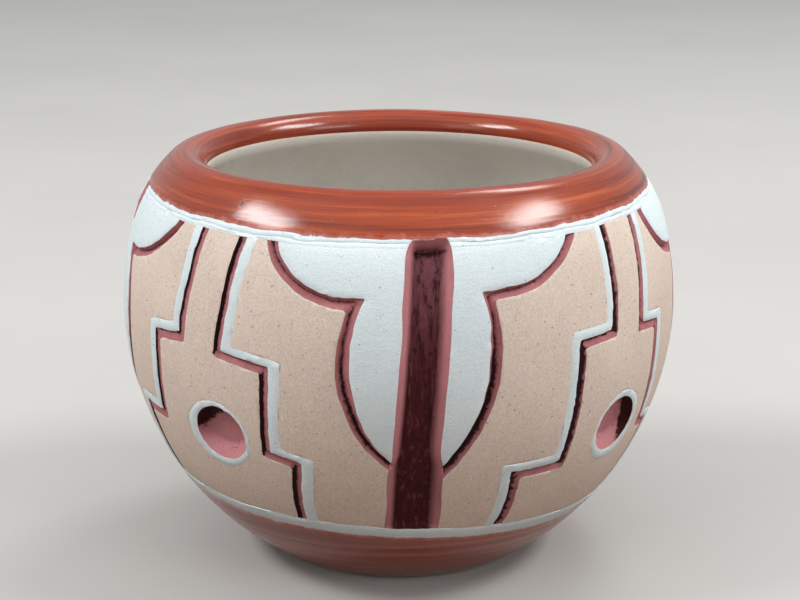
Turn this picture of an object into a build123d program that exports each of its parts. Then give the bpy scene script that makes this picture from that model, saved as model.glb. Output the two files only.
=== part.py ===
from build123d import *
import math
import os

# Pueblo pottery jar, in millimetres, +Z up.
# The origin is the centre of the flat foot, and the middle of one carved channel faces -Y.
# The clay is a pressed base pat, pinched wall coils and a rolled rim coil, lapped on sloping joints.
# Coats of red, white and mauve slip lie on the clay and in its carved grooves.

# Form of the clay
BELLY_RADIUS = 62.5
BELLY_HEIGHT = 58.5
FOOT_RADIUS = 28.7
FOOT_EASE = 2.0
JAR_HEIGHT = 92.1
MOUTH_RADIUS = 43.6
LIP_RADIUS = 4.4
LIP_TURN = 48.0  # degrees, where the wall runs into the round of the lip
WALL = 6.5
FLOOR = 8.0
FLOOR_RADIUS = 26.0
FLOOR_EASE = 8.0

# Coils
BASE_PAT_HEIGHT = 12.0
RIM_COIL_HEIGHT = 10.5
COIL_COUNT = 5
LAP_ANGLE = 25.0  # degrees, slope of the lapped joints

# Slip coats and their borders
SLIP = 0.3
RIM_BAND = 7.9  # drop of the red border below the crest
UPPER_LINE = 1.8
LOWER_BORDER = 20.1  # top of the lower white line
LOWER_LINE = 3.0
FOOT_BARE = 0.8  # bare clay above the floor

# Carved channel with a pair of white wings
MOTIF_COUNT = 4
CHANNEL_WIDTH = 10.4
CHANNEL_DEPTH = 3.0
CHANNEL_LEAN = 2.3  # degrees, the foot of the channel towards the left
LEAF_REACH = 14.5  # from the middle of the channel to the widest point of the leaf
LEAF_DROP = 21.9  # from the upper white line down to that point
LEAF_RADIUS = 36.0
SCALLOP_REACH = 15.0  # from the middle of the channel to the middle of the scallop
SCALLOP_DROP = 9.5
SCALLOP_RADIUS = 15.6
WING_GROOVE = 2.4
WING_GROOVE_DEPTH = 1.4

# Stepped funnel with a dimpled dot, between two channels
STEP_LINE = 2.2
STEP_GROOVE = 1.9
STEP_GROOVE_DEPTH = 1.0
NECK_TOP = 7.2  # half widths of the funnel, from its axis to the edge of the white line
NECK_FOOT = 5.9
LEFT_LANDING = 15.6
LEFT_LANDING_FOOT = 15.2
LEFT_SKIRT = 26.0
LEFT_SKIRT_FOOT = 22.0
RIGHT_LANDING = 15.8
RIGHT_LANDING_FOOT = 13.6
RIGHT_SKIRT = 19.8
RIGHT_SKIRT_FOOT = 15.4
FIRST_STEP_DROP = 22.4
SECOND_STEP_DROP = 45.2
TREAD_FALL = 1.2
DOT_RISE = 19.6  # from the lower white line up to the middle of the dot
DOT_RING = 1.5
DIMPLE_WIDTH = 13.0
DIMPLE_DEPTH = 2.2

# Room beyond the surface for cutting shapes
CLEAR = 2.0

field_top = JAR_HEIGHT - RIM_BAND - UPPER_LINE
red_border = JAR_HEIGHT - RIM_BAND
foot_border = LOWER_BORDER - LOWER_LINE
reach = BELLY_RADIUS + CLEAR
above = JAR_HEIGHT + CLEAR


def turned(angle):
    return Vector(math.cos(math.radians(angle)), math.sin(math.radians(angle)))


# Turned profile as arcs in radius and height
# Each arc is a centre, a radius, a start angle and an end angle, and meets the next one smoothly.
def belly_arc(belly, low_radius, low_height):
    """The arc that is upright at the belly and comes down to a given point."""
    inset = belly - low_radius
    drop = BELLY_HEIGHT - low_height
    radius = (inset**2 + drop**2) / (2 * inset)
    return Vector(belly - radius, BELLY_HEIGHT), radius, -math.degrees(math.asin(drop / radius)), 0.0


def shoulder_arcs(belly, top, top_angle):
    """Two arcs from the upright belly to a point whose outward normal has the given angle."""
    foot = Vector(belly, BELLY_HEIGHT)
    up = turned(90)
    along = turned(top_angle + 90)
    span = top - foot
    bend = 2 * (up.dot(along) - 1)
    slope = span.dot(up + along)
    square = span.dot(span)
    reach_each = (slope - math.sqrt(slope**2 - bend * square)) / bend
    meet = (foot + top + (up - along) * reach_each) / 2
    inset = belly - meet.X
    rise = meet.Y - BELLY_HEIGHT
    low_radius = (inset**2 + rise**2) / (2 * inset)
    meet_angle = math.degrees(math.asin(rise / low_radius))
    high_radius = (top - meet).length / (2 * math.sin(math.radians(top_angle - meet_angle) / 2))
    low = (Vector(belly - low_radius, BELLY_HEIGHT), low_radius, 0.0, meet_angle)
    high = (meet - turned(meet_angle) * high_radius, high_radius, meet_angle, top_angle)
    return [low, high]


lip_centre = Vector(MOUTH_RADIUS + LIP_RADIUS, JAR_HEIGHT - LIP_RADIUS)
lip_outside = lip_centre + turned(LIP_TURN) * LIP_RADIUS
lip_inside = lip_centre - turned(LIP_TURN) * LIP_RADIUS
outside = [
    belly_arc(BELLY_RADIUS, FOOT_RADIUS, 0.0),
    *shoulder_arcs(BELLY_RADIUS, lip_outside, LIP_TURN),
    (lip_centre, LIP_RADIUS, LIP_TURN, 180.0),
]
inside = [
    belly_arc(BELLY_RADIUS - WALL, FLOOR_RADIUS, FLOOR),
    *shoulder_arcs(BELLY_RADIUS - WALL, lip_inside, LIP_TURN),
]


def drawn(arcs, grow=0.0):
    """The edges of the arcs, moved out by an even distance."""
    return [CenterArc(centre, radius + grow, start, end - start) for centre, radius, start, end in arcs]


def arc_point(arc, angle, grow=0.0):
    centre, radius, _, _ = arc
    return centre + turned(angle) * (radius + grow)


def closed_face(edges):
    return Face(Wire.combine(edges)[0])


def level_band(low, high):
    return Pos(reach / 2, (low + high) / 2) * Rectangle(reach, high - low)


def spun(section):
    return revolve(Plane.XZ * section, Axis.Z)


# Sections that are spun to solids
def clay_section():
    turn_in = (lip_centre, LIP_RADIUS, 180.0, 180.0 + LIP_TURN)
    foot_edge = Vector(FOOT_RADIUS, 0)
    floor_edge = Vector(FLOOR_RADIUS, FLOOR)
    edges = drawn(outside) + drawn([turn_in]) + drawn(inside)
    edges += [Line((0, 0), foot_edge), Line((0, FLOOR), floor_edge), Line((0, 0), (0, FLOOR))]
    face = closed_face(edges)
    face = fillet(face.vertices().sort_by_distance(foot_edge)[0], FOOT_EASE)
    return fillet(face.vertices().sort_by_distance(floor_edge)[0], FLOOR_EASE)


def layer_section(low, high):
    """A layer that follows the outside of the clay, from one depth or height to another."""
    first = outside[0]
    last = outside[-1]
    bottom = Line(arc_point(first, first[2], low), arc_point(first, first[2], high))
    end = Line(arc_point(last, last[3], low), arc_point(last, last[3], high))
    return closed_face(drawn(outside, low) + drawn(outside, high) + [bottom, end])


def layer(low, high, floor_level, top_level):
    return spun(layer_section(low, high) & level_band(floor_level, top_level))


def field_layer(low, high):
    return layer(low, high, LOWER_BORDER, field_top)


# Outlines of the design, drawn square on and pushed outwards from the axis
def facing(azimuth):
    return Plane(
        origin=(0, 0, 0),
        x_dir=(math.cos(math.radians(azimuth)), math.sin(math.radians(azimuth)), 0),
        z_dir=(math.sin(math.radians(azimuth)), -math.cos(math.radians(azimuth)), 0),
    )


def pushed(outline, azimuth):
    return extrude(facing(azimuth) * outline, reach)


def around(solid):
    step = 360 / MOTIF_COUNT
    return [Rot(0, 0, turn * step) * solid for turn in range(MOTIF_COUNT)]


def leaned(outline):
    """Turned a little about the head of the channel, as the hand cut it."""
    return Pos(0, field_top) * Rot(0, 0, -CHANNEL_LEAN) * Pos(0, -field_top) * outline


def channel_outline(width):
    length = 2 * JAR_HEIGHT
    return leaned(Rectangle(width, length))


def half_plane(side):
    return Pos(side * reach / 2, field_top / 2) * Rectangle(reach, 2 * JAR_HEIGHT)


def wing_outline(side, grow):
    scallop = Pos(side * SCALLOP_REACH, field_top - SCALLOP_DROP + SCALLOP_RADIUS)
    leaf = Pos(side * (LEAF_REACH - LEAF_RADIUS), field_top - LEAF_DROP)
    discs = scallop * Circle(SCALLOP_RADIUS + grow) + leaned(leaf * Circle(LEAF_RADIUS + grow))
    return discs & leaned(half_plane(side))


def flight_path(side, landing, landing_foot, skirt, skirt_foot):
    """The edge between the white stepped line and its groove, from the neck of the funnel down."""
    first = field_top - FIRST_STEP_DROP
    second = field_top - SECOND_STEP_DROP
    points = [
        (NECK_TOP, above),
        (NECK_FOOT, first),
        (landing, first - TREAD_FALL),
        (landing_foot, second),
        (skirt, second - TREAD_FALL),
        (skirt_foot, LOWER_BORDER - CLEAR),
    ]
    return Polyline(*[(side * across, level) for across, level in points])


def flight_band(path, side, width):
    """A strip of even width along one side of the path: outwards if the width is positive."""
    lie = Side.LEFT if side * width > 0 else Side.RIGHT
    strip = offset(path, abs(width), kind=Kind.INTERSECTION, side=lie, closed=True)
    return make_face(strip.edges())


# Channel and wings, one motif at azimuth 0
groove_room = field_layer(-WING_GROOVE_DEPTH, CLEAR)
groove_slip = field_layer(-WING_GROOVE_DEPTH, SLIP - WING_GROOVE_DEPTH)
step_room = field_layer(-STEP_GROOVE_DEPTH, CLEAR)
step_slip = field_layer(-STEP_GROOVE_DEPTH, SLIP - STEP_GROOVE_DEPTH)
field_coat = field_layer(0, SLIP)

channel_block = pushed(channel_outline(CHANNEL_WIDTH), 0)
channel_inner = pushed(channel_outline(CHANNEL_WIDTH - 2 * SLIP), 0)
channel_cut = channel_block & layer(-CHANNEL_DEPTH, CLEAR, LOWER_BORDER, red_border)
channel_lining = (channel_block & layer(-CHANNEL_DEPTH, 0, LOWER_BORDER, red_border)) - (
    channel_inner & layer(SLIP - CHANNEL_DEPTH, CLEAR, LOWER_BORDER - CLEAR, red_border + CLEAR)
)

carvings = around(channel_cut)
coats = {"mauve_channels": around(channel_lining)}
for name, side in (("left", -1), ("right", 1)):
    white = wing_outline(side, 0)
    groove = pushed(wing_outline(side, WING_GROOVE) - white, 0) - channel_block
    panel = (pushed(white, 0) & field_coat) - channel_block
    carvings += around(groove & groove_room)
    coats["white_wings_" + name] = around(panel)
    coats["mauve_wing_grooves_" + name] = around(groove & groove_slip)

# Stepped lines and dot, one funnel half way between two channels
funnel_azimuth = 180 / MOTIF_COUNT
flights = (
    ("left", -1, LEFT_LANDING, LEFT_LANDING_FOOT, LEFT_SKIRT, LEFT_SKIRT_FOOT),
    ("right", 1, RIGHT_LANDING, RIGHT_LANDING_FOOT, RIGHT_SKIRT, RIGHT_SKIRT_FOOT),
)
for name, side, *widths in flights:
    path = flight_path(side, *widths)
    line = pushed(flight_band(path, side, STEP_LINE), funnel_azimuth)
    groove = pushed(flight_band(path, side, -STEP_GROOVE), funnel_azimuth)
    carvings += around(groove & step_room)
    coats["white_steps_" + name] = around(line & field_coat)
    coats["mauve_step_grooves_" + name] = around(groove & step_slip)

dot_level = LOWER_BORDER + DOT_RISE
dot_tilt = math.degrees(math.asin((dot_level - BELLY_HEIGHT) / outside[0][1]))
dot_seat = arc_point(outside[0], dot_tilt)
dot_facing = facing(funnel_azimuth)
dot_normal = dot_facing.z_dir * math.cos(math.radians(dot_tilt)) + Vector(0, 0, 1) * math.sin(
    math.radians(dot_tilt)
)
dot_origin = dot_facing.z_dir * dot_seat.X + Vector(0, 0, dot_seat.Y)
dot_plane = Plane(origin=dot_origin, x_dir=dot_facing.x_dir, z_dir=dot_normal)
bowl_radius = (DIMPLE_WIDTH**2 / 4 + DIMPLE_DEPTH**2) / (2 * DIMPLE_DEPTH)
bowl = dot_plane * Pos(0, 0, bowl_radius - DIMPLE_DEPTH) * Sphere(bowl_radius)
bowl_inner = dot_plane * Pos(0, 0, bowl_radius - DIMPLE_DEPTH) * Sphere(bowl_radius - SLIP)
under_skin = field_layer(-CHANNEL_DEPTH - SLIP, 0)
ring_outline = Circle(DIMPLE_WIDTH / 2 + DOT_RING) - Circle(DIMPLE_WIDTH / 2)
ring = extrude(dot_plane * ring_outline, CHANNEL_DEPTH, both=True) & field_coat
carvings += around(bowl & field_layer(-CHANNEL_DEPTH - SLIP, CLEAR))
coats["mauve_dots"] = around((bowl & under_skin) - bowl_inner)
coats["white_dot_rings"] = around(ring)

# Border coats
coats["rim_red_slip"] = [layer(0, SLIP, red_border, above)]
upper_line = layer(0, SLIP, field_top, red_border) - around(channel_block)
coats["upper_white_line"] = upper_line.solids()
coats["lower_white_line"] = [layer(0, SLIP, foot_border, LOWER_BORDER)]
coats["foot_red_slip"] = [layer(0, SLIP, FOOT_BARE, foot_border)]

# Clay pieces between lapped joints, from the base pat up
def wall_at(level):
    """The point of the outside at a level below the lip, and the angle of its outward normal."""
    for centre, radius, start, end in outside:
        if level <= centre.Y + radius * math.sin(math.radians(end)):
            angle = math.degrees(math.asin((level - centre.Y) / radius))
            return centre + turned(angle) * radius, angle
    raise ValueError("level above the lip")


def lap_line(level):
    """The two ends of a joint, through the wall and a little beyond, sloped from square by the lap."""
    point, angle = wall_at(level)
    inward = turned(angle + 180 + LAP_ANGLE)
    return point - inward * CLEAR, point + inward * (2 * WALL)


def lap_band(low, high):
    """The room between two joints: under the first one, or over the last, it takes all that is left."""
    outer_low, inner_low = lap_line(low) if low else (Vector(reach, -CLEAR), Vector(0, -CLEAR))
    outer_high, inner_high = lap_line(high) if high else (Vector(reach, above), Vector(0, above))
    corners = [outer_low, outer_high, inner_high]
    if not (low and high):
        joint_end = inner_low if low else inner_high
        corners.append(Vector(0, joint_end.Y))
    corners.append(inner_low)
    return make_face(Polyline(*corners, close=True))


coil_height = (JAR_HEIGHT - BASE_PAT_HEIGHT - RIM_COIL_HEIGHT) / COIL_COUNT
joints = [BASE_PAT_HEIGHT + coil_height * step for step in range(COIL_COUNT + 1)]
levels = [None, *joints, None]
names = ["base_pat", *[f"wall_coil_{step + 1}" for step in range(COIL_COUNT)], "rim_coil"]
section = clay_section()
clay = {}
for name, low, high in zip(names, levels, levels[1:]):
    clay[name] = spun(section & lap_band(low, high)) - carvings

os.makedirs("parts", exist_ok=True)
for name, solid in clay.items():
    export_step(solid, f"parts/{name}.step")
for name, solids in coats.items():
    export_step(Compound(children=solids), f"parts/{name}.step")
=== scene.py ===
import math

import bmesh
import bpy
import numpy as np
from mathutils import Matrix, Vector, noise


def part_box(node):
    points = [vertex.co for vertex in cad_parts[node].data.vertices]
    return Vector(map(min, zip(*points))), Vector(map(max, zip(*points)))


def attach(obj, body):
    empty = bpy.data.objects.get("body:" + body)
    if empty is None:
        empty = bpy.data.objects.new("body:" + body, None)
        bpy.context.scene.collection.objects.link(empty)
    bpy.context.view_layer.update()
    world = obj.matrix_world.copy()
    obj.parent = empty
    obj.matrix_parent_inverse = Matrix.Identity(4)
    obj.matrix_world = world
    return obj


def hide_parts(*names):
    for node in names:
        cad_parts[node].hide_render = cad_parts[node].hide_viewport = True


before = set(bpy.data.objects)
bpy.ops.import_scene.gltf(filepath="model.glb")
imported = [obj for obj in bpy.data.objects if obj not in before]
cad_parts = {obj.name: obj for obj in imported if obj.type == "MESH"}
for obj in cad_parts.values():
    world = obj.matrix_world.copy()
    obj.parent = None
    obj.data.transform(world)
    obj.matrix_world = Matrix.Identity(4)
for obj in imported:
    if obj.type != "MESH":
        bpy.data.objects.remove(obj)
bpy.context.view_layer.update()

# The bare jar: a pressed clay pat for the floor, five coils for the wall and a thicker coil for the
# rim, pinched together and scraped to one smooth wall before any line is cut. Its section is a run of
# tangent arcs from the foot over the lip to the floor inside, turned once round the upright axis.
mm = 0.001
jar_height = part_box("rim_coil")[1].z
belly_radius = 62.5 * mm
belly_height = 58.5 * mm
wall = 6.5 * mm
foot_radius = 28.7 * mm
foot_ease = 2.0 * mm
floor_radius = 26.0 * mm
floor_height = 8.0 * mm
floor_ease = 8.0 * mm
mouth_radius = 43.6 * mm
lip_radius = 4.4 * mm
lip_turn = math.radians(48.0)
round_steps = 380
fine_step = 0.9 * mm
foot_step = 1.8 * mm
coarse_step = 3.5 * mm
fine_from = 12.0 * mm
merge_gap = 0.001 * mm


def polar(angle):
    """A unit arrow in the section, from the outward direction towards the top."""
    return Vector((math.cos(angle), 0.0, math.sin(angle)))


def belly_centre(belly, low_radius, low_height):
    """The centre of the arc that is upright at the belly and comes down to a given point."""
    inset = belly - low_radius
    drop = belly_height - low_height
    return Vector((belly - (inset**2 + drop**2) / (2 * inset), 0.0, belly_height))


def shoulder_centres(belly, top, top_angle):
    """The centres of the two arcs from the upright belly to the lip, and the angle where they meet."""
    foot = Vector((belly, 0.0, belly_height))
    up = polar(math.pi / 2)
    along = polar(top_angle + math.pi / 2)
    span = top - foot
    bend = 2 * (up.dot(along) - 1)
    slope = span.dot(up + along)
    reach = (slope - math.sqrt(slope**2 - bend * span.dot(span))) / bend
    meet = (foot + top + (up - along) * reach) / 2
    inset = belly - meet.x
    rise = meet.z - belly_height
    low_radius = (inset**2 + rise**2) / (2 * inset)
    meet_angle = math.asin(rise / low_radius)
    high_radius = (top - meet).length / (2 * math.sin((top_angle - meet_angle) / 2))
    low_centre = Vector((belly - low_radius, 0.0, belly_height))
    return low_centre, meet_angle, meet - polar(meet_angle) * high_radius


def ease_centre(arc_centre, arc_radius, level, ease):
    """The centre of the round between a flat level and the arc that rises from it."""
    reach = math.sqrt((arc_radius - ease) ** 2 - (arc_centre.z - level - ease) ** 2)
    return Vector((arc_centre.x + reach, 0.0, level + ease))


skin = bmesh.new()
course = skin.verts.layers.float.new("course")


def drag(tip, centre, angle, shift, length, step):
    """Drags the section's last point on along an arc or a straight line and returns the new last point."""
    steps = max(1, round(length / step))
    made = bmesh.ops.spin(
        skin, geom=[tip], cent=centre, axis=(0, -1, 0), dvec=shift / steps, angle=angle, steps=steps,
        space=Matrix.Identity(4), use_merge=False, use_normal_flip=False, use_duplicate=False,
    )
    return [item for item in made["geom_last"] if isinstance(item, bmesh.types.BMVert)][0]


def sweep(tip, centre, end_angle, step):
    arm = tip.co - centre
    angle = end_angle - math.atan2(arm.z, arm.x)
    angle = (angle + math.pi) % (2 * math.pi) - math.pi
    return drag(tip, centre, angle, Vector((0, 0, 0)), abs(angle) * arm.length, step)


def run(tip, end, step):
    shift = end - tip.co
    return drag(tip, Vector((0, 0, 0)), 0.0, shift, shift.length, step)


low_outside = belly_centre(belly_radius, foot_radius, 0.0)
low_inside = belly_centre(belly_radius - wall, floor_radius, floor_height)
foot_round = ease_centre(low_outside, belly_radius - low_outside.x, 0.0, foot_ease)
floor_round = ease_centre(low_inside, belly_radius - wall - low_inside.x, floor_height, floor_ease)
lip_centre = Vector((mouth_radius + lip_radius, 0.0, jar_height - lip_radius))
shoulder = shoulder_centres(belly_radius, lip_centre + polar(lip_turn) * lip_radius, lip_turn)
throat = shoulder_centres(belly_radius - wall, lip_centre - polar(lip_turn) * lip_radius, lip_turn)
foot_angle = math.atan2(foot_round.z - low_outside.z, foot_round.x - low_outside.x)
floor_angle = math.atan2(floor_round.z - low_inside.z, floor_round.x - low_inside.x)
fine_angle = math.asin((fine_from - belly_height) / (belly_radius - low_outside.x))

tip = skin.verts.new((0, 0, 0))
tip = run(tip, Vector((foot_round.x, 0, 0)), coarse_step)
tip = sweep(tip, foot_round, foot_angle, fine_step)
tip = sweep(tip, low_outside, fine_angle, foot_step)
tip = sweep(tip, low_outside, 0.0, fine_step)
tip = sweep(tip, shoulder[0], shoulder[1], fine_step)
tip = sweep(tip, shoulder[2], lip_turn, fine_step)
tip = sweep(tip, lip_centre, math.pi, fine_step)
lip_end = len(skin.verts) - 1
tip = sweep(tip, lip_centre, math.pi + lip_turn, fine_step)
tip = sweep(tip, throat[2], throat[1], coarse_step)
tip = sweep(tip, throat[0], 0.0, coarse_step)
tip = sweep(tip, low_inside, floor_angle, coarse_step)
tip = sweep(tip, floor_round, -math.pi / 2, foot_step)
tip = run(tip, Vector((0, 0, floor_height)), coarse_step)

skin.verts.ensure_lookup_table()
travelled = 0.0
for before, after in zip(skin.verts[:-1], skin.verts[1:]):
    travelled += (after.co - before.co).length
    after[course] = travelled
slip_end = skin.verts[lip_end][course]
bmesh.ops.spin(
    skin, geom=skin.verts[:] + skin.edges[:], cent=(0, 0, 0), axis=(0, 0, 1), dvec=(0, 0, 0),
    angle=2 * math.pi, steps=round_steps, space=Matrix.Identity(4), use_merge=True,
    use_normal_flip=False, use_duplicate=False,
)
bmesh.ops.remove_doubles(skin, verts=skin.verts, dist=merge_gap)
bmesh.ops.recalc_face_normals(skin, faces=skin.faces)

# The drawn design: four carved channels with a pair of white wings each, and between them four stepped
# funnels with a dimpled dot, all under a red rim and over a red foot. The lines are scored into the
# soft skin freehand, so each one wanders a little and no two neighbours are quite alike.
quarter = math.pi / 2
photo_turn = math.radians(5.7)
hand_waves = 7
hand_drift = (14 * mm, 0.14 * mm)
knife_chatter = (2.4 * mm, 0.08 * mm)
score_drift = (30 * mm, 0.12 * mm)
channel_drift = (9 * mm, 0.13 * mm)


def wander(azimuth, height, seed, wave, swing):
    """The unsteadiness of the hand: a sum of waves about one length, the same each time."""
    draw = np.random.RandomState(seed)
    spot = (belly_radius * np.sin(azimuth), belly_radius * np.cos(azimuth), height)
    total = np.zeros_like(azimuth)
    for _ in range(hand_waves):
        heading = draw.normal(size=3)
        heading *= 2 * math.pi / (wave * draw.uniform(0.6, 1.6) * np.linalg.norm(heading))
        start = draw.uniform(0, 2 * math.pi)
        total = total + np.sin(spot[0] * heading[0] + spot[1] * heading[1] + spot[2] * heading[2] + start)
    return swing * total / math.sqrt(hand_waves)


def shaky(azimuth, height, seed):
    """A hand's slow drift with a knife's small chatter."""
    slow = wander(azimuth, height, seed, *hand_drift)
    return slow + wander(azimuth, height, seed + 1, *knife_chatter)


# The upper border lies higher at the sides of the jar, and the lower one sinks towards the right.
red_level = 84.1 * mm
upper_line_level = 82.4 * mm
lower_line_levels = (17.6 * mm, 20.3 * mm)
score_drop = 0.8 * mm
side_lift = 1.3 * mm
lower_tilt = 3.0 * mm


def red_border(azimuth, height):
    return red_level + side_lift * np.sin(azimuth + photo_turn) ** 2 + shaky(azimuth, height, 3)


def border_score(azimuth, height):
    """The fine line that is scored round the jar just under the red."""
    return red_border(azimuth, height) - score_drop + wander(azimuth, height, 4, *score_drift)


def upper_line_foot(azimuth, height):
    return upper_line_level + side_lift * np.sin(azimuth + photo_turn) ** 2 + shaky(azimuth, height, 5)


def lower_line_top(azimuth, height):
    return lower_line_levels[1] - lower_tilt * np.sin(azimuth + photo_turn) + shaky(azimuth, height, 7)


def lower_line_foot(azimuth, height):
    return lower_line_levels[0] - lower_tilt * np.sin(azimuth + photo_turn) + shaky(azimuth, height, 9)


# The channel leans to the left on its way down, as far as a certain offset.
channel_half = 4.95 * mm
channel_flare = 0.8 * mm
flare_length = 1.5 * mm
wing_tip_height = 37.5 * mm
head_draw = 1.45 * mm
draw_length = 1.6 * mm
lean_top = 81 * mm
lean_start = 0.2 * mm
lean_slope = 0.066
lean_most = 2.45 * mm


def channel_offset(azimuth, radius, height):
    """How far a point lies to the right of the leaning middle line of its nearest channel."""
    across = radius * np.sin(azimuth - quarter * np.round(azimuth / quarter))
    lean = np.maximum(lean_start - lean_slope * (lean_top - height), -lean_most)
    return across - lean


def under_red(azimuth, height):
    return np.maximum(red_border(azimuth, height) - height, 0.0)


def channel_width(azimuth, height):
    """Half the width of the channel, drawn in at its head and wider below the tips of the wings."""
    below_tips = 0.5 - 0.5 * np.tanh((height - wing_tip_height) / flare_length)
    drawn_in = head_draw * np.exp(-under_red(azimuth, height) / draw_length)
    return channel_half + channel_flare * below_tips - drawn_in


def channel_field(azimuth, radius, height):
    inside = channel_width(azimuth, height) - np.abs(channel_offset(azimuth, radius, height))
    return inside + wander(azimuth, height, 11, *channel_drift)


def oval(aside, above, half_wide, half_high):
    """How far a point lies inside an oval, below nought outside it."""
    aside = aside + 1e-7
    reach = np.hypot(aside / half_wide, above / half_high)
    return reach * (1 - reach) / np.hypot(aside / half_wide**2, above / half_high**2)


# Left and right: the scallops are ovals by their middle and half sizes, the leaves arcs by their radius,
# reach and level, and the grooves round them are given by their widths at a few levels.
scallops = {-1: (15.0, 82.0, 14.1, 9.1), 1: (13.3, 85.0, 16.2, 11.0)}
leaves = {-1: (32.0, 14.9, 61.0), 1: (36.0, 13.7, 60.0)}
groove_levels = (38.0 * mm, 45.0 * mm, 55.0 * mm, 63.0 * mm, 68.0 * mm)
wing_grooves = {-1: (1.7, 2.2, 2.8, 2.8, 2.3), 1: (2.2, 2.4, 2.4, 2.4, 1.95)}


def wing_field(azimuth, radius, height):
    """How far a point lies inside the white wing beside its channel, below nought outside it."""
    offset = channel_offset(azimuth, radius, height)
    across = radius * np.sin(azimuth - quarter * np.round(azimuth / quarter))
    inside = {}
    for side in (-1, 1):
        middle, level, half_wide, half_high = (size * mm for size in scallops[side])
        scallop = oval(side * across - middle, height - level, half_wide, half_high)
        bend, reach, leaf_level = (size * mm for size in leaves[side])
        leaf = bend - np.hypot(side * offset + bend - reach, height - leaf_level)
        inside[side] = np.maximum(scallop, leaf)
    return np.where(offset > 0, inside[1], inside[-1]) + shaky(azimuth, height, 13)


def wing_groove(azimuth, radius, height):
    right, left = (mm * np.interp(height, groove_levels, wing_grooves[side]) for side in (1, -1))
    return np.where(channel_offset(azimuth, radius, height) > 0, right, left)


# Each flight runs down from the neck of the funnel: neck, tread, riser, tread and skirt.
# The keys say whether the funnel is an odd one and which side of it the flight is on.
flight_paths = {
    (1, -1): ((5.2, 84.0), (8.9, 60.9), (17.8, 59.9), (19.1, 40.5), (28.0, 40.3), (24.0, 20.0)),
    (1, 1): ((7.2, 84.0), (3.7, 59.4), (15.4, 57.6), (13.1, 38.3), (19.4, 36.6), (14.6, 20.0)),
    (0, -1): ((4.4, 84.0), (5.9, 61.9), (15.7, 61.6), (15.4, 34.2), (26.2, 33.8), (22.6, 18.8)),
    (0, 1): ((8.6, 84.0), (5.5, 61.2), (13.3, 60.4), (13.5, 36.5), (19.0, 35.5), (16.0, 20.0)),
}
riser_lines = {(1, -1): 2.1 * mm, (1, 1): 2.4 * mm, (0, -1): 1.8 * mm, (0, 1): 2.1 * mm}
tread_lines = {(1, -1): 1.9 * mm, (1, 1): 1.6 * mm, (0, -1): 2.0 * mm, (0, 1): 1.9 * mm}
step_line = 2.2 * mm
step_groove = 1.9 * mm


def funnel_place(azimuth, radius):
    """How far a point lies to the right of its funnel's middle, and whether that funnel is an odd one."""
    number = np.round(azimuth / quarter - 0.5)
    return radius * np.sin(azimuth - (number + 0.5) * quarter), number % 2


def flight_field(azimuth, radius, height):
    """How far a point lies on the white side of the edge between a stepped line and its groove.
    On that side it is stretched so that the far edge of the white is a full step line away."""
    across, odd = funnel_place(azimuth, radius)
    distance = np.zeros_like(across)
    for (kind, side), path in flight_paths.items():
        edges = []
        for start, end in zip(path[:-1], path[1:]):
            slope = math.atan2(end[1] - start[1], end[0] - start[0])
            away = (side * across - start[0] * mm) * -math.sin(slope)
            away = away + (height - start[1] * mm) * math.cos(slope)
            lines = tread_lines if abs(slope) < quarter / 2 else riser_lines
            edges.append(np.where(away > 0, away * step_line / lines[kind, side], away))
        steps = np.maximum(np.minimum(edges[0], edges[1]), np.minimum(edges[2], edges[3]))
        here = (odd == kind) & (np.where(across > 0, 1, -1) == side)
        distance = np.where(here, np.maximum(steps, edges[4]), distance)
    return distance + shaky(azimuth, height, 17)


# The rings and the dimples in them, by middle and half sizes, in the even and the odd funnels.
dot_rings = {0: (0.5, 38.9, 7.9, 8.1), 1: (-0.1, 39.9, 8.5, 7.65)}
dimples = {0: (0.0, 39.5, 6.5, 6.3), 1: (0.6, 40.45, 6.75, 6.1)}
dimple_wall = 0.8 * mm
dimple_beach = 3.6 * mm


def in_funnel(azimuth, radius, height, ovals):
    """How far a point lies inside the oval of its funnel, and how high in that oval."""
    across, odd = funnel_place(azimuth, radius)
    sizes = [np.where(odd == 1, ovals[1][i], ovals[0][i]) * mm for i in range(4)]
    inside = oval(across - sizes[0], height - sizes[1], sizes[2], sizes[3])
    return inside, np.clip((height - sizes[1]) / sizes[3], -1, 1)


def ring_field(azimuth, radius, height):
    return in_funnel(azimuth, radius, height, dot_rings)[0] + shaky(azimuth, height, 19)


def dimple_field(azimuth, radius, height):
    return in_funnel(azimuth, radius, height, dimples)[0] + shaky(azimuth, height, 21)


def wall_width(azimuth, radius, height):
    """The dimple's wall is steep at its top and sides and runs out gently at the bottom."""
    low = np.clip(-in_funnel(azimuth, radius, height, dimples)[1], 0, 1)
    return dimple_wall + dimple_beach * low**1.5


# The knife leans, so the deepest line of a groove lies towards its upper or its left wall.
wing_lean = (-0.5, 0.62, 0.24)
step_lean = (-0.86, 0.5, 0.34)
slope_span = 0.2 * mm


def knife_side(field, lean, azimuth, radius, height):
    """Which way a groove faces under the leaning knife, from one to minus one."""
    turn = slope_span / radius
    aside = field(azimuth - turn, radius, height) - field(azimuth + turn, radius, height)
    above = field(azimuth, radius, height - slope_span) - field(azimuth, radius, height + slope_span)
    return (aside * lean[0] + above * lean[1]) / np.maximum(np.hypot(aside, above), 1e-9)


def deep_share(field, lean, azimuth, radius, height):
    """Where between its white edge and its clay edge a groove is deepest."""
    return 0.5 + lean[2] * knife_side(field, lean, azimuth, radius, height)


def wing_deep_line(azimuth, radius, height):
    share = deep_share(wing_field, wing_lean, azimuth, radius, height)
    return wing_field(azimuth, radius, height) + wing_groove(azimuth, radius, height) * share


def step_deep_line(azimuth, radius, height):
    share = deep_share(flight_field, step_lean, azimuth, radius, height)
    return flight_field(azimuth, radius, height) + step_groove * share


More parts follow.
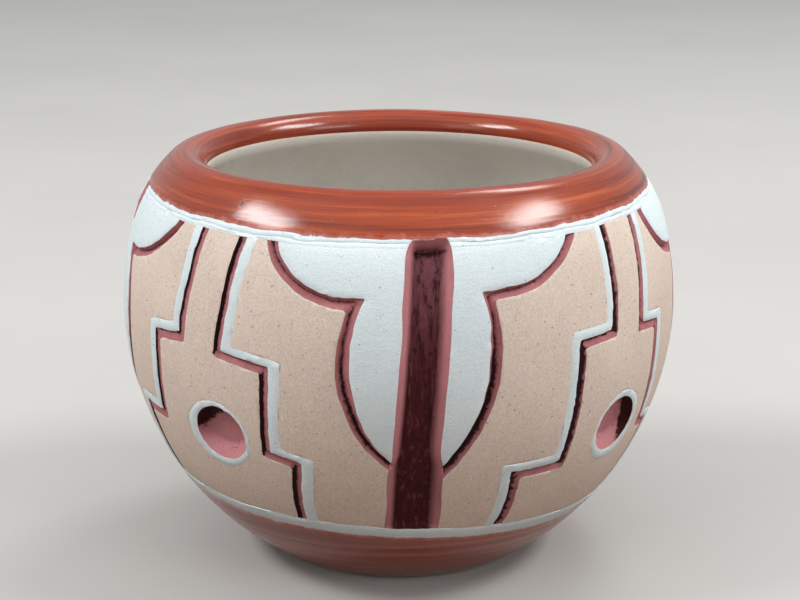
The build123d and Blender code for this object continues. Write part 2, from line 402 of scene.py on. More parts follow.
# How the lines are cut into the skin: each one splits the edges that it crosses and joins the new points.
hair = 0.04 * mm
lowest_line = 10 * mm
lowest_motif = 15 * mm


def places(spots):
    """The azimuth, the radius and the height of each spot."""
    spots = np.array(spots)
    return np.arctan2(spots[:, 0], -spots[:, 1]), np.hypot(spots[:, 0], spots[:, 1]), spots[:, 2]


def between(low, high):
    """The ground between two borders, with a hair's breadth to spare."""
    return lambda azimuth, radius, height: (
        (height > low(azimuth, height) - hair) & (height < high(azimuth, height) + hair)
    )


def within(field):
    return lambda azimuth, radius, height: (
        (height > lowest_motif) & (field(azimuth, radius, height) > -hair)
    )


def score(field, ground):
    """Cuts the line where a field is nought into the open ground of the skin."""
    skin.verts.index_update()
    azimuth, radius, height = places([vert.co for vert in skin.verts])
    radius = np.maximum(radius, mm)
    side = field(azimuth, radius, height)
    outside = np.array([vert[course] for vert in skin.verts]) < slip_end
    open_ground = ground(azimuth, radius, height) & outside & (radius > mm)
    ends = np.array([[vert.index for vert in edge.verts] for edge in skin.edges])
    first = side[ends[:, 0]]
    second = side[ends[:, 1]]
    crossed = np.flatnonzero(((first > 0) != (second > 0)) & open_ground[ends].all(axis=1))
    skin.edges.ensure_lookup_table()
    shares = {skin.edges[i]: float(first[i] / (first[i] - second[i])) for i in crossed}
    split = bmesh.ops.bisect_edges(skin, edges=list(shares), cuts=1, edge_percents=shares)
    fresh = [item for item in split["geom_split"] if isinstance(item, bmesh.types.BMVert)]
    bmesh.ops.connect_verts(skin, verts=fresh)


def level_with(border, lift=0.0):
    return lambda azimuth, radius, height: height - border(azimuth, height) - lift


def anywhere(azimuth, radius, height):
    return height > lowest_line


channel_round = 0.8 * mm
left_flank = 2.1 * mm
right_flank = 2.3 * mm
channel_head = 1.5 * mm
head_shadow = 0.35 * mm
score_half = 0.25 * mm

for border in (red_border, upper_line_foot, lower_line_top, lower_line_foot):
    score(level_with(border), anywhere)
for lift in (-score_half, 0.0, score_half):
    score(level_with(border_score, lift), between(upper_line_foot, red_border))
score(channel_field, between(lower_line_top, red_border))
for inset in (channel_round, left_flank):
    score(
        lambda a, r, h: channel_offset(a, r, h) + channel_width(a, h) - inset,
        between(lower_line_top, red_border),
    )
score(
    lambda a, r, h: channel_offset(a, r, h) - channel_width(a, h) + right_flank,
    between(lower_line_top, red_border),
)
for below in (channel_head, channel_head + head_shadow):
    score(level_with(red_border, -below), within(channel_field))
for field in (
    wing_field, lambda a, r, h: wing_field(a, r, h) + wing_groove(a, r, h), wing_deep_line,
    flight_field, lambda a, r, h: flight_field(a, r, h) - step_line,
    lambda a, r, h: flight_field(a, r, h) + step_groove, step_deep_line,
    ring_field, dimple_field,
):
    score(field, between(lower_line_top, upper_line_foot))
for share in (0.5, 1.0):
    score(lambda a, r, h: dimple_field(a, r, h) - share * wall_width(a, r, h), within(dimple_field))

# Which coat each patch of the scored skin gets. The wings and flights lie to the left or the right of
# their channel or funnel, what no coat covers stays bare clay, and a lone patch goes with its neighbours.
foot_bare = 0.8 * mm
lone_share = 0.7
coat_names = [
    "clay", "rim_red_slip", "foot_red_slip", "upper_white_line", "lower_white_line",
    "white_wings_left", "white_wings_right", "white_steps_left", "white_steps_right", "white_dot_rings",
    "mauve_channels", "mauve_wing_grooves_left", "mauve_wing_grooves_right",
    "mauve_step_grooves_left", "mauve_step_grooves_right", "mauve_dots",
]
coat = skin.faces.layers.int.new("coat")
azimuth, radius, height = places([face.calc_center_median() for face in skin.faces])
outside = np.array([np.mean([vert[course] for vert in face.verts]) for face in skin.faces]) < slip_end
right_wing = channel_offset(azimuth, radius, height) > 0
right_flight = funnel_place(azimuth, radius)[0] > 0
wings = wing_field(azimuth, radius, height)
wing_cuts = wing_groove(azimuth, radius, height)
flights = flight_field(azimuth, radius, height)
covers = np.zeros(len(skin.faces), int)


def lay(name, where):
    """Lays a coat on the patches that have none yet."""
    covers[where & outside & (covers == 0)] = coat_names.index(name)


lay("rim_red_slip", height > red_border(azimuth, height))
lay("foot_red_slip", (height < lower_line_foot(azimuth, height)) & (height > foot_bare))
lay("lower_white_line", (height < lower_line_top(azimuth, height)) & (height > foot_bare))
lay("mauve_channels", (channel_field(azimuth, radius, height) > 0) & (height > foot_bare))
lay("upper_white_line", height > upper_line_foot(azimuth, height))
field_ground = height > foot_bare
lay("mauve_dots", field_ground & (dimple_field(azimuth, radius, height) > 0))
lay("white_dot_rings", field_ground & (ring_field(azimuth, radius, height) > 0))
for name, here in (("left", ~right_flight), ("right", right_flight)):
    lay("white_steps_" + name, field_ground & here & (flights > 0) & (flights < step_line))
    lay("mauve_step_grooves_" + name, field_ground & here & (flights <= 0) & (flights > -step_groove))
for name, here in (("left", ~right_wing), ("right", right_wing)):
    lay("white_wings_" + name, field_ground & here & (wings > 0))
    lay("mauve_wing_grooves_" + name, field_ground & here & (wings <= 0) & (wings > -wing_cuts))
for face, cover in zip(skin.faces, covers):
    face[coat] = int(cover)
for face in skin.faces:
    shares = {}
    for edge in face.edges:
        for other in edge.link_faces:
            if other is not face:
                shares[other[coat]] = shares.get(other[coat], 0.0) + edge.calc_length()
    most = max(shares, key=shares.get)
    if shares[most] > lone_share * sum(shares.values()):
        face[coat] = most

# The carving: a gouge takes the channels out as troughs with a rounded left edge and an easy right flank,
# a knife cuts the grooves as leaning notches, and a thumb-sized tool hollows the dots. Each cut has its
# full depth, the share of it reached at a point, and the mark that shows there, such as its dark line;
# these marks are painted shade, partly wash pooled in the cuts.
channel_depth = 3.0 * mm
wing_groove_depth = 1.1 * mm
step_groove_depth = 0.8 * mm
dimple_depth = 2.5 * mm
score_depth = 0.18 * mm
round_share = 0.16
channel_foot = 7.0 * mm
foot_share = 0.35
head_shadow_length = 1.7 * mm
head_shadow_slant = 0.55 * mm
head_edge_mark = 0.2
right_line_share = 1.8
right_line_shift = 0.06
thin_edge = 1.5 * mm
carved = skin.verts.layers.float.new("carved")


def notch(field, lean, width, azimuth, radius, height):
    """Across a groove: the share of its depth, its place from white to clay, and which way it faces."""
    place = -field(azimuth, radius, height) / width
    facing = knife_side(field, lean, azimuth, radius, height)
    deep = 0.5 + lean[2] * facing
    flank = np.where(place < deep, place / deep, (1 - place) / (1 - deep))
    return np.clip(flank, 0, 1), place, facing


azimuth, radius, height = places([vert.co for vert in skin.verts])
radius = np.maximum(radius, mm)
offset = channel_offset(azimuth, radius, height)
half = channel_width(azimuth, height)
below_red = red_border(azimuth, height) - height
from_left = np.interp(offset + half, (0, channel_round, left_flank), (0, round_share, 1))
from_right = np.clip((half - offset) / right_flank, 0, 1)
from_head = np.clip(below_red / channel_head, 0, 1)
above_foot = np.clip((height - lower_line_top(azimuth, height)) / channel_foot, 0, 1)
from_foot = foot_share + (1 - foot_share) * above_foot
channel_floor = np.minimum(np.minimum(from_left, from_right), from_head)
trough = np.minimum(channel_floor, np.minimum(from_left, from_right) * from_foot)
# The channel's mark is a painted shadow under its head.
shadow_length = head_shadow_length - head_shadow_slant * offset / channel_half
head_mark = np.clip(1 - (below_red - channel_head - head_shadow) / shadow_length, 0, 1)
in_head = below_red < channel_head + head_shadow - hair
head_mark = np.where(in_head, head_edge_mark, head_mark) * channel_floor
wing_width = wing_groove(azimuth, radius, height)
wing_notch, wing_place, wing_facing = notch(wing_field, wing_lean, wing_width, azimuth, radius, height)
# The wing grooves' mark: a dark line along the deepest cut, partly wash pooled there and partly painted
# shade.
wing_line = np.interp(height, (48 * mm, 70 * mm), (0.18, 0.03))
wing_line = np.where(offset > 0, right_line_share * wing_line, wing_line)
wing_middle = 0.5 + wing_lean[2] * wing_facing + np.where(offset > 0, right_line_shift, 0.0)
wing_mark = wing_line - np.abs(wing_place - wing_middle)
step_notch, step_place, step_facing = notch(flight_field, step_lean, step_groove, azimuth, radius, height)
across, odd = funnel_place(azimuth, radius)


def by_flight(shares):
    """The share at each point from a table with the keys of the flights' paths."""
    in_odd = np.where(across > 0, shares[1, 1], shares[1, -1])
    return np.where(odd == 1, in_odd, np.where(across > 0, shares[0, 1], shares[0, -1]))


step_notch *= by_flight({(1, -1): 0.42, (1, 1): 0.75, (0, -1): 0.9, (0, 1): 0.65})
# The step grooves' mark darkens a band from the steep side of each groove: painted shade of that wall,
# partly pooled wash.
fading_shade_reach = np.interp(height, (60 * mm, 66 * mm), (1.12, 0.9))
step_shade_reach = by_flight({(1, -1): 0.32, (1, 1): 0.5, (0, -1): fading_shade_reach, (0, 1): 0.6})
step_mark = step_shade_reach * np.abs(step_facing) ** 2 - np.where(step_facing > 0, 1 - step_place, step_place)

# Painted shade, partly wash pooled there: the upper, outer wall of a dimple is painted dark.
dimple_inside = dimple_field(azimuth, radius, height)
dimple_high = in_funnel(azimuth, radius, height, dimples)[1]
dimple_share = np.clip(dimple_inside / wall_width(azimuth, radius, height), 0, 1)
dimple_sunk = np.sin(quarter * dimple_share)
dimple_middle, dimple_half = (np.where(odd == 1, dimples[1][i], dimples[0][i]) * mm for i in (0, 2))
dimple_out = np.where(odd == 1, -1, 1) * (across - dimple_middle) / dimple_half
even_dimple_shade = np.clip(0.3 + 0.55 * dimple_high + 0.75 * dimple_out, 0, 1) - 0.85 * dimple_share
odd_dimple_shade = 1.2 * (dimple_high + 0.75 * dimple_out) - 0.58
dimple_mark = np.where(odd == 1, odd_dimple_shade, even_dimple_shade)
score_share = np.clip(1 - np.abs(height - border_score(azimuth, height)) / score_half, 0, 1)
cuts = {
    "upper_white_line": (score_depth, score_share, score_share),
    "mauve_channels": (channel_depth, trough, head_mark),
    "mauve_wing_grooves_left": (wing_groove_depth, wing_notch, wing_mark),
    "mauve_wing_grooves_right": (wing_groove_depth, wing_notch, wing_mark),
    "mauve_step_grooves_left": (step_groove_depth, step_notch, step_mark),
    "mauve_step_grooves_right": (step_groove_depth, step_notch, step_mark),
    "mauve_dots": (dimple_depth, dimple_sunk, dimple_mark),
}
marks = {name: cut[2] for name, cut in cuts.items()}
marks["rim_red_slip"] = 1 - np.clip(-below_red / thin_edge, 0, 1)
marks["foot_red_slip"] = 1 - np.clip((lower_line_foot(azimuth, height) - height) / thin_edge, 0, 1)
for spot, vert in enumerate(skin.verts):
    kinds = {coat_names[face[coat]] for face in vert.link_faces}
    if kinds == {"upper_white_line"} or all(kind.startswith("mauve") for kind in kinds):
        vert[carved] = max(cuts[kind][0] * cuts[kind][1][spot] for kind in kinds)

# The clay body itself, bare between the coats and inside: fine sandy buff clay, scraped and left matt.
# The skin's own shape is the wall, sunk a little under each coat so that the coats can lie on it.
slip_bed = 0.2 * mm
dent_sizes = ((38 * mm, 0.30 * mm), (11 * mm, 0.07 * mm))
level_foot = 5.0 * mm
crease = math.radians(38)


def dent(spot):
    """The gentle unevenness of a wall that was pinched and scraped by hand, but stands on a level foot."""
    uneven = sum(swing * noise.noise(spot / size) for size, swing in dent_sizes)
    return uneven * min(1.0, spot.z / level_foot) ** 2


def shape(piece, rise):
    """Moves each point of a piece out along the wall's normal, by its own rise and the wall's dents."""
    piece.normal_update()
    moves = [vert.normal * (rise(vert) + dent(vert.co)) for vert in piece.verts]
    for vert, move in zip(piece.verts, moves):
        vert.co += move


def close_piece(piece, name, material, slot_name, *nodes):
    """Turns a shaped mesh into a finished piece that rides on the jar and stands for its solids."""
    for edge in piece.edges:
        edge.smooth = edge.calc_face_angle(0.0) < crease
    for face in piece.faces:
        face.smooth = True
    mesh = bpy.data.meshes.new(name)
    piece.to_mesh(mesh)
    piece.free()
    mesh.materials.append(material)
    made = bpy.data.objects.new(name, mesh)
    bpy.context.scene.collection.objects.link(made)
    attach(made, "root")
    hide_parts(*nodes)
    return made


def node(tree, kind, inputs=None, **settings):
    """A shader node with its settings made and its inputs set or wired."""
    made = tree.nodes.new("ShaderNode" + kind)
    for key, value in settings.items():
        setattr(made, key, value)
    for key, value in (inputs or {}).items():
        if isinstance(value, bpy.types.NodeSocket):
            tree.links.new(value, made.inputs[key])
        else:
            made.inputs[key].default_value = value
    return made


def tone(red, green, blue):
    """A colour from screen values to the linear values that a shader takes."""
    linear = [((c / 255 + 0.055) / 1.055) ** 2.4 if c > 10 else c / 3295 for c in (red, green, blue)]
    return (*linear, 1.0)


def ramp(tree, share, *stops):
    """Colours along a share from nought to one."""
    made = node(tree, "ValToRGB", {"Fac": share})
    steps = made.color_ramp.elements
    while len(steps) < len(stops):
        steps.new(0.5)
    for step, (place, colour) in zip(steps, stops):
        step.position = place
        step.color = colour
    return made.outputs["Color"]


def grey(level):
    return (level, level, level, 1.0)


def rise_from(tree, share, low, high, most=1.0):
    """A share that is nought up to one place and full from another."""
    return ramp(tree, share, (low, grey(0.0)), (high, grey(most)))


def blend(tree, share, first, second, mode="MIX"):
    made = node(tree, "Mix", {0: share, 6: first, 7: second}, data_type="RGBA", blend_type=mode)
    return made.outputs[2]


def sums(tree, operation, first, second):
    return node(tree, "Math", {0: first, 1: second}, operation=operation).outputs[0]


def stretched(tree, coords, scale):
    return node(tree, "Mapping", {"Vector": coords, "Scale": scale}).outputs[0]


def grit(tree, coords, scale, detail=4.0, roughness=0.6):
    spread = {"Vector": coords, "Scale": scale, "Detail": detail, "Roughness": roughness}
    return node(tree, "TexNoise", spread).outputs["Fac"]


def flecks(tree, coords, scale, size, rarity):
    """Small uneven spots, one in a few of the cells of a scattered grid."""
    bent = node(tree, "TexNoise", {"Vector": coords, "Scale": scale * 2.2, "Detail": 2.0}).outputs["Color"]
    bent = node(tree, "VectorMath", {0: bent, "Scale": 0.9 / scale}, operation="SCALE").outputs[0]
    spread = node(tree, "VectorMath", {0: coords, 1: bent}, operation="ADD").outputs[0]
    cells = node(tree, "TexVoronoi", {"Vector": spread, "Scale": scale, "Randomness": 1.0})
    pick = node(tree, "SeparateColor", {"Color": cells.outputs["Color"]}).outputs
    reach = sums(tree, "MULTIPLY", pick[1], size)
    spot = sums(tree, "LESS_THAN", cells.outputs["Distance"], reach)
    return sums(tree, "MULTIPLY", spot, sums(tree, "GREATER_THAN", pick[0], rarity))


def start_material(name, roughness):
    made = bpy.data.materials.new(name)
    made.use_nodes = True
    tree = made.node_tree
    shader = tree.nodes["Principled BSDF"]
    coords = node(tree, "TexCoord").outputs["Object"]
    shader.inputs["Roughness"].default_value = roughness
    return made, tree, shader, coords


def add_bump(tree, shader, height, depth, socket="Normal"):
    bump = node(tree, "Bump", {"Height": height, "Distance": depth, "Strength": 1.0})
    tree.links.new(bump.outputs["Normal"], shader.inputs[socket])


def attribute(tree, name):
    return node(tree, "Attribute", attribute_name=name).outputs["Fac"]


def scratches(tree, coords, turn, rarity):
    """Short thin marks that all run one way, where the scraper or a knock has dragged."""
    lie = {"Vector": coords, "Rotation": turn, "Scale": (2600.0, 2600.0, 230.0)}
    lie = node(tree, "Mapping", lie).outputs[0]
    dragged = rise_from(tree, grit(tree, lie, 1.0, 2.0, 0.5), 0.68, 0.74)
    where = rise_from(tree, grit(tree, coords, 90.0, 2.0), rarity, rarity + 0.1)
    return sums(tree, "MULTIPLY", dragged, where)


def buff_clay():
    made, tree, shader, coords = start_material("buff_clay", 0.88)
    mottle = grit(tree, coords, 38.0)
    grain = grit(tree, coords, 2400.0, 5.0, 0.75)
    dust = grit(tree, coords, 430.0, 4.0, 0.7)
    shaded_pits = flecks(tree, coords, 1900.0, 0.4, 0.9)
    sand = flecks(tree, coords, 2000.0, 0.42, 0.9)
    nicks = sums(
        tree, "MAXIMUM", scratches(tree, coords, (0.6, 0.3, 0.2), 0.52),
        scratches(tree, coords, (-0.9, 0.5, 0.0), 0.54),
    )
    body = ramp(tree, mottle, (0.3, tone(212, 194, 179)), (0.7, tone(223, 206, 192)))
    body = blend(tree, 0.6, body, ramp(tree, grain, (0.32, grey(0.26)), (0.68, grey(0.74))), "OVERLAY")
    body = blend(tree, rise_from(tree, dust, 0.52, 0.72, 0.5), body, tone(230, 214, 200))
    body = blend(tree, sums(tree, "MULTIPLY", sand, 0.75), body, tone(236, 222, 208))
    body = blend(tree, sums(tree, "MULTIPLY", nicks, 0.75), body, tone(244, 234, 222))
    # Dark flecks painted as the shade in small pits.
    body = blend(tree, sums(tree, "MULTIPLY", shaded_pits, 0.6), body, tone(128, 104, 90))
    within_jar = ramp(tree, mottle, (0.3, tone(200, 196, 188)), (0.7, tone(212, 208, 200)))
    within_jar = blend(tree, rise_from(tree, dust, 0.5, 0.75, 0.4), within_jar, tone(188, 183, 174))
    tree.links.new(blend(tree, attribute(tree, "inner"), body, within_jar), shader.inputs["Base Color"])
    relief = sums(tree, "SUBTRACT", grain, sums(tree, "MULTIPLY", shaded_pits, 0.8))
    add_bump(tree, shader, relief, 0.1 * mm)
    return made


clay = skin.copy()
clay_inner = clay.verts.layers.float.new("inner")
clay_course = clay.verts.layers.float["course"]
clay_carved = clay.verts.layers.float["carved"]
clay_coat = clay.faces.layers.int["coat"]


def clay_rise(vert):
    if all(face[clay_coat] for face in vert.link_faces):
        return -vert[clay_carved] - slip_bed
    return 0.0


for vert in clay.verts:
    vert[clay_inner] = 1.0 if vert[clay_course] > slip_end else 0.0
shape(clay, clay_rise)
close_piece(
    clay, "clay_body", buff_clay(), "clay",
    "base_pat", "wall_coil_1", "wall_coil_2", "wall_coil_3", "wall_coil_4", "wall_coil_5", "rim_coil",
)

# The coats of slip: thin layers of coloured clay brushed on the leather-hard wall, each ending in a soft
# edge. Where two coats meet they run together, and where one meets bare clay or a groove it thins out.
coat_depth = 0.3 * mm
coat_rise = 0.16 * mm
meeting_rise = 0.11 * mm


def slip_coat(name, material, slot_name, rise):
    """Lifts one coat off the scored skin, writes its hollows and marks on it and gives it its thickness."""
    piece = skin.copy()
    kinds = piece.faces.layers.int["coat"]
    number = coat_names.index(name)
    meets = piece.verts.layers.int.new("meets")
    hollow = piece.verts.layers.float.new("hollow")
    mark = piece.verts.layers.float.new("mark")
    for spot, vert in enumerate(piece.verts):
        others = {coat_names[face[kinds]] for face in vert.link_faces} - {name}
        bare = any(other == "clay" or other.startswith("mauve") for other in others)
        vert[meets] = 2 if bare else 1 if others else 0
        vert[hollow] = channel_floor[spot]
        vert[mark] = marks[name][spot] if name in marks else 0.0
    strays = [face for face in piece.faces if face[kinds] != number]
    bmesh.ops.delete(piece, geom=strays, context="FACES")
    levels = (rise, min(rise, meeting_rise), 0.0)
    depth = piece.verts.layers.float["carved"]
    shape(piece, lambda vert: levels[vert[meets]] - vert[depth])
    bmesh.ops.solidify(piece, geom=piece.faces[:], thickness=coat_depth)
    return close_piece(piece, name + "_coat", material, slot_name, name)


# Red slip on the rim and the foot: an iron-red coat rubbed with a smooth stone until it shines. The
# stone leaves streaks that run round the jar, and the edge over the white line is thin and ragged. One
# small pit in the rim is painted only: a pale ring round a dark centre, the dark being painted shade in
# the hole; the dark pores are painted shade in small hollows.
rim_pit = math.radians(-42.4)
pit_radius = 53.7 * mm
pit_height = 88.4 * mm


def burnished_red():
    made, tree, shader, coords = start_material("burnished_red_slip", 0.4)
    shader.inputs["Coat Weight"].default_value = 0.8
    shader.inputs["Coat Roughness"].default_value = 0.14
    shader.inputs["Specular IOR Level"].default_value = 0.1
    along = attribute(tree, "course")
    flat = stretched(tree, coords, (15.0, 15.0, 0.0))
    lift = node(tree, "CombineXYZ", {"Z": sums(tree, "MULTIPLY", along, 620.0)}).outputs[0]
    round_jar = node(tree, "VectorMath", {0: flat, 1: lift}, operation="ADD").outputs[0]
    streak = grit(tree, round_jar, 1.0, 8.0, 0.7)
    broad = grit(tree, round_jar, 0.35, 3.0, 0.5)
    blotch = grit(tree, coords, 60.0, 4.0)
    grain = grit(tree, coords, 1900.0, 3.0, 0.7)
    chips = flecks(tree, coords, 1700.0, 0.34, 0.975)
    shaded_pores = flecks(tree, coords, 1700.0, 0.36, 0.95)
    body = ramp(
        tree, streak,
        (0.36, tone(104, 33, 14)), (0.45, tone(138, 50, 19)),
        (0.55, tone(156, 61, 23)), (0.64, tone(182, 88, 44)),
    )
    body = blend(tree, rise_from(tree, broad, 0.45, 0.7, 0.5), body, tone(124, 40, 18))
    body = blend(tree, rise_from(tree, blotch, 0.5, 0.75, 0.35), body, tone(156, 68, 42))
    body = blend(tree, sums(tree, "MULTIPLY", chips, 0.7), body, tone(232, 178, 146))
    # Dark flecks painted as the shade in small pores.
    body = blend(tree, sums(tree, "MULTIPLY", shaded_pores, 0.6), body, tone(92, 32, 22))
    ragged = sums(tree, "MULTIPLY", grit(tree, coords, 420.0, 5.0, 0.75), 0.8)
    ragged = sums(tree, "ADD", sums(tree, "MULTIPLY", attribute(tree, "mark"), 0.45), ragged)
    body = blend(tree, rise_from(tree, ragged, 0.6, 0.76, 0.7), body, tone(186, 112, 100))
    body = blend(tree, rise_from(tree, ragged, 0.86, 0.9, 0.9), body, tone(222, 206, 196))
    pit = node(
        tree, "Mapping",
        {
            "Vector": coords, "Rotation": (0.0, 0.35, rim_pit), "Scale": (0.3 * mm, 0.85 * mm, 0.85 * mm),
            "Location": (pit_radius * math.sin(rim_pit), -pit_radius * math.cos(rim_pit), pit_height),
        },
        vector_type="TEXTURE",
    ).outputs[0]
    pit = node(tree, "VectorMath", {0: pit}, operation="LENGTH").outputs["Value"]
    pit_share = sums(tree, "MULTIPLY", pit, 0.25)
    # The pit is painted only: a pale ring, and a dark centre that is painted shade in the hole.
    body = blend(tree, ramp(tree, pit_share, (0.3, grey(0.3)), (0.45, grey(0.0))), body, tone(214, 150, 128))
    body = blend(tree, ramp(tree, pit_share, (0.22, grey(1.0)), (0.27, grey(0.0))), body, tone(40, 10, 10))
    tree.links.new(body, shader.inputs["Base Color"])
    gloss = ramp(tree, streak, (0.3, grey(0.5)), (0.7, grey(0.34)))
    tree.links.new(gloss, shader.inputs["Roughness"])
    relief = sums(tree, "ADD", sums(tree, "MULTIPLY", streak, 1.0), sums(tree, "MULTIPLY", grain, 0.7))
    relief = sums(tree, "SUBTRACT", relief, sums(tree, "MULTIPLY", shaded_pores, 0.8))
    add_bump(tree, shader, relief, 0.07 * mm)
    sheen = sums(tree, "ADD", streak, sums(tree, "MULTIPLY", grain, 0.12))
    add_bump(tree, shader, sheen, 0.05 * mm, "Coat Normal")
    return made


red_slip = burnished_red()
slip_coat("rim_red_slip", red_slip, "red_slip", coat_rise)
slip_coat("foot_red_slip", red_slip, "red_slip", coat_rise)

# White slip on the border lines, the wings, the stepped lines and the rings: a cool white clay brushed on
# thickly and left matt, with brush grain, sand showing through and a few dark specks. Along the scored
# line under the red it is painted darker in patches, as painted shade in the score.
def brushed_white():
    made, tree, shader, coords = start_material("brushed_white_slip", 0.85)
    mottle = grit(tree, coords, 60.0)
    grain = grit(tree, coords, 2200.0, 5.0, 0.75)
    brush = grit(tree, stretched(tree, coords, (300.0, 300.0, 1500.0)), 1.0, 4.0, 0.7)
    specks = flecks(tree, coords, 1900.0, 0.38, 0.95)
    body = ramp(tree, mottle, (0.3, tone(215, 228, 231)), (0.7, tone(225, 236, 239)))
    body = blend(tree, 0.6, body, ramp(tree, grain, (0.32, grey(0.3)), (0.68, grey(0.7))), "OVERLAY")
    body = blend(tree, ramp(tree, brush, (0.3, grey(0.3)), (0.42, grey(0.0))), body, tone(190, 196, 192))
    body = blend(tree, sums(tree, "MULTIPLY", specks, 0.55), body, tone(120, 118, 114))
    # Painted shade in patches along the scored line under the red.
    score_line_shade = rise_from(tree, grit(tree, coords, 140.0), 0.42, 0.62)
    score_line_shade = sums(tree, "MULTIPLY", attribute(tree, "mark"), score_line_shade)
    body = blend(tree, rise_from(tree, score_line_shade, 0.3, 0.9, 0.6), body, tone(122, 116, 110))
    tree.links.new(body, shader.inputs["Base Color"])
    relief = sums(tree, "ADD", grain, sums(tree, "MULTIPLY", brush, 0.3))
    add_bump(tree, shader, relief, 0.14 * mm)
    return made


white_slip = brushed_white()
for white_name in coat_names:
    if white_name.startswith("white") or white_name.endswith("white_line"):
        slip_coat(white_name, white_slip, "white_slip", coat_rise)

# Mauve slip in the carving: a dusty purple-red wash painted into the channels, grooves and dots. It
# lies thin on top. Along the deepest cuts and the steep walls it is painted near black, partly wash
# pooled there and partly painted shade, ragged where the knife's chatter still shows; the channel
# floors are painted darker towards the bottom and under the head as painted shade.
def mauve_wash(name):
    made, tree, shader, coords = start_material(name, 0.7)
    shader.inputs["Specular IOR Level"].default_value = 0.15
    blotch = grit(tree, coords, 150.0, 4.0)
    chatter = grit(tree, coords, 1000.0, 4.0, 0.75)
    chips = flecks(tree, coords, 1800.0, 0.38, 0.95)
    body = ramp(tree, blotch, (0.3, tone(158, 98, 102)), (0.7, tone(180, 117, 120)))
    body = blend(tree, 0.5, body, ramp(tree, chatter, (0.3, grey(0.36)), (0.7, grey(0.64))), "OVERLAY")
    body = blend(tree, sums(tree, "MULTIPLY", chips, 0.7), body, tone(212, 160, 156))
    add_bump(tree, shader, chatter, 0.13 * mm)
    return made, tree, shader, coords, body, chatter


def marked(tree, chatter, spread):
    """The mark of a cut, made ragged by the knife's chatter."""
    shift = sums(tree, "MULTIPLY", sums(tree, "SUBTRACT", chatter, 0.5), spread)
    return sums(tree, "ADD", sums(tree, "ADD", attribute(tree, "mark"), 0.5), shift)


def groove_mauve():
    made, tree, shader, _, body, chatter = mauve_wash("mauve_wash_in_grooves")
    # Near black along each groove's mark: painted shade, partly wash pooled in the cut.
    groove_shade = marked(tree, chatter, 0.65)
    body = blend(tree, rise_from(tree, groove_shade, 0.34, 0.54, 0.75), body, tone(96, 44, 50))
    body = blend(tree, rise_from(tree, groove_shade, 0.47, 0.6), body, tone(38, 10, 14))
    tree.links.new(body, shader.inputs["Base Color"])
    return made


def channel_mauve():
    made, tree, shader, coords, body, chatter = mauve_wash("mauve_wash_in_channels")
    height = node(tree, "SeparateXYZ", {"Vector": coords}).outputs["Z"]
    height = sums(tree, "MULTIPLY", height, 10.0)
    gouge = grit(tree, stretched(tree, coords, (900.0, 900.0, 110.0)), 1.0, 5.0, 0.7)
    shaded_pits = flecks(tree, coords, 900.0, 0.5, 0.78)
    body = blend(tree, 0.4, body, tone(204, 138, 143))
    # Painted shade: the channel floor is darker towards the bottom.
    floor_shade_by_height = ((0.3, tone(62, 12, 16)), (0.58, tone(80, 30, 35)), (0.82, tone(122, 74, 81)))
    bottom = ramp(tree, height, *floor_shade_by_height)
    bottom = blend(tree, rise_from(tree, gouge, 0.5, 0.6, 0.8), bottom, tone(46, 10, 15))
    bottom = blend(tree, ramp(tree, gouge, (0.34, grey(0.45)), (0.44, grey(0.0))), bottom, tone(134, 84, 90))
    # Dark flecks painted as the shade in small pits.
    bottom = blend(tree, sums(tree, "MULTIPLY", shaded_pits, 0.7), bottom, tone(36, 8, 12))
    # Partly painted shade of the trough, partly darker wash: the floor darker than its flanks.
    rough = sums(tree, "MULTIPLY", sums(tree, "SUBTRACT", chatter, 0.5), 0.35)
    soft = sums(tree, "ADD", attribute(tree, "hollow"), rough)
    body = blend(tree, rise_from(tree, soft, 0.35, 0.98), body, bottom)
    # Painted shadow under the channel's head, made ragged by the chatter.
    ragged = sums(tree, "MULTIPLY", marked(tree, chatter, 1.6), 0.6)
    body = blend(tree, rise_from(tree, ragged, 0.42, 0.82), body, tone(46, 9, 14))
    tree.links.new(body, shader.inputs["Base Color"])
    return made


def dot_mauve():
    made, tree, shader, coords, body, chatter = mauve_wash("mauve_wash_in_dots")
    vein = grit(tree, coords, 210.0, 2.0, 0.5)
    crack = ramp(tree, vein, (0.485, grey(0.0)), (0.5, grey(0.75)), (0.515, grey(0.0)))
    crack = sums(tree, "MULTIPLY", crack, rise_from(tree, grit(tree, coords, 260.0, 2.0), 0.5, 0.6))
    body = blend(tree, 0.5, body, tone(206, 142, 147))
    body = blend(tree, crack, body, tone(78, 28, 34))
    # Painted shade on the dimple's upper, outer wall, partly pooled wash.
    body = blend(tree, rise_from(tree, marked(tree, chatter, 0.7), 0.6, 0.76), body, tone(50, 8, 12))
    tree.links.new(body, shader.inputs["Base Color"])
    return made


slip_coat("mauve_channels", channel_mauve(), "mauve_slip", 0.0)
slip_coat("mauve_dots", dot_mauve(), "mauve_slip", 0.0)
groove_finish = groove_mauve()
for mauve_name in coat_names:
    if "grooves" in mauve_name:
        slip_coat(mauve_name, groove_finish, "mauve_slip", 0.0)
skin.free()

# The stage: a plain pale floor under a pale sky, and the camera at the photograph's angle. Soft lamps above,
# left and right shine on the rim, and weaker ones fill the front and the back. The floor looks pale, but
# throws only a little brown light back up at the jar.
bpy.context.scene.view_settings.view_transform = "Standard"


def seen_straight(tree):
    """One for rays that show the stage itself, nought for light that only bounces off it."""
    path = node(tree, "LightPath").outputs
    mirrored = sums(tree, "MAXIMUM", path["Is Glossy Ray"], path["Is Transmission Ray"])
    return sums(tree, "MAXIMUM", path["Is Camera Ray"], mirrored)


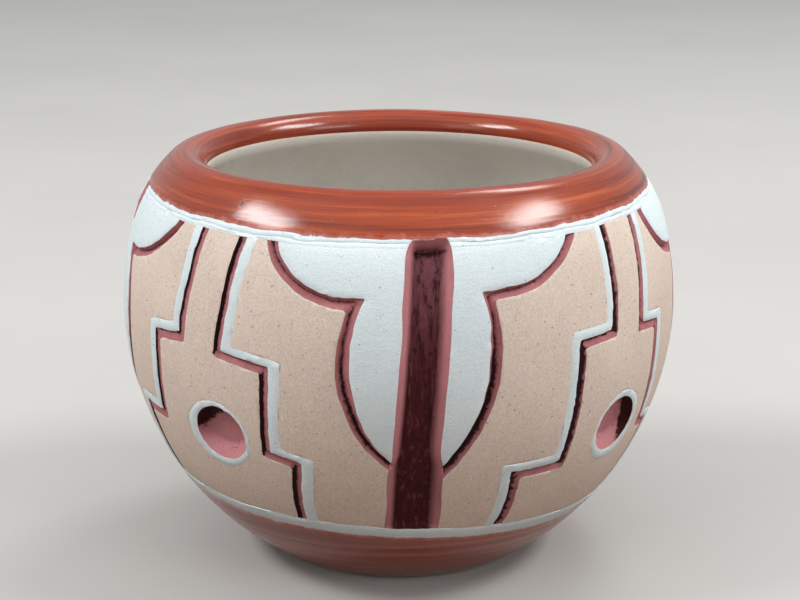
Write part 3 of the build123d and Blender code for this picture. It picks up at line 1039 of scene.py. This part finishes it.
floor_mesh = bpy.data.meshes.new("studio_floor")
floor_shape = bmesh.new()
bmesh.ops.create_grid(floor_shape, x_segments=2, y_segments=2, size=3.0)
floor_shape.to_mesh(floor_mesh)
floor_shape.free()
floor = bpy.data.objects.new("studio_floor", floor_mesh)
bpy.context.scene.collection.objects.link(floor)
floor_finish, floor_tree, floor_shader, floor_coords = start_material("studio_floor", 0.8)
floor_grain = grit(floor_tree, floor_coords, 6.0)
floor_shade = ramp(floor_tree, floor_grain, (0.3, tone(181, 179, 175)), (0.7, tone(187, 185, 181)))
floor_shade = blend(floor_tree, seen_straight(floor_tree), tone(104, 82, 66), floor_shade)
floor_tree.links.new(floor_shade, floor_shader.inputs["Base Color"])
floor_mesh.materials.append(floor_finish)

world = bpy.data.worlds.new("studio_air")
world.use_nodes = True
world_tree = world.node_tree
air = world_tree.nodes["Background"]
air.inputs["Color"].default_value = tone(228, 231, 234)
air.inputs["Strength"].default_value = 0.62
bpy.context.scene.world = world


def soft_lamp(name, azimuth, elevation, distance, size, power):
    """A soft lamp aimed at the jar, placed by its turn to the right of the camera and its rise."""
    turn = math.radians(azimuth) - photo_turn
    rise = math.radians(elevation)
    aim = Vector((0, 0, jar_height / 2))
    flat = Vector((math.sin(turn), -math.cos(turn), 0)) * math.cos(rise)
    lamp = bpy.data.lights.new(name, "AREA")
    lamp.shape = "RECTANGLE"
    lamp.size, lamp.size_y = size
    lamp.energy = power
    made = bpy.data.objects.new(name, lamp)
    made.location = aim + (flat + Vector((0, 0, math.sin(rise)))) * distance
    made.rotation_euler = (made.location - aim).to_track_quat("Z", "Y").to_euler()
    bpy.context.scene.collection.objects.link(made)


soft_lamp("overhead_soft_lamp", 0, 80, 1.3, (1.4, 1.4), 3.0)
soft_lamp("left_soft_lamp", -76, 45, 1.3, (0.52, 0.25), 9.6)
soft_lamp("right_soft_lamp", 80, 47, 1.3, (0.52, 0.25), 8.7)
soft_lamp("front_left_lamp", -42, 26, 1.8, (0.7, 0.6), 2.4)
soft_lamp("front_right_lamp", 44, 26, 1.8, (0.7, 0.6), 5.4)
soft_lamp("back_lamp", 144, 56, 1.4, (0.4, 0.3), 4.0)

camera_distance = 437.65 * mm
camera_height = 175.6 * mm
camera_pitch = math.radians(15.245)
camera_data = bpy.data.cameras.new("photo_camera")
camera_data.lens = 88.8
camera_data.sensor_width = 36.0
camera_data.shift_x = 0.00125
camera_data.clip_start = 0.01
camera = bpy.data.objects.new("photo_camera", camera_data)
camera_place = Vector((-math.sin(photo_turn), -math.cos(photo_turn), 0)) * camera_distance
camera.location = camera_place + Vector((0, 0, camera_height))
camera.rotation_euler = (math.pi / 2 - camera_pitch, 0.0, -photo_turn)
bpy.context.scene.collection.objects.link(camera)
bpy.context.scene.camera = camera
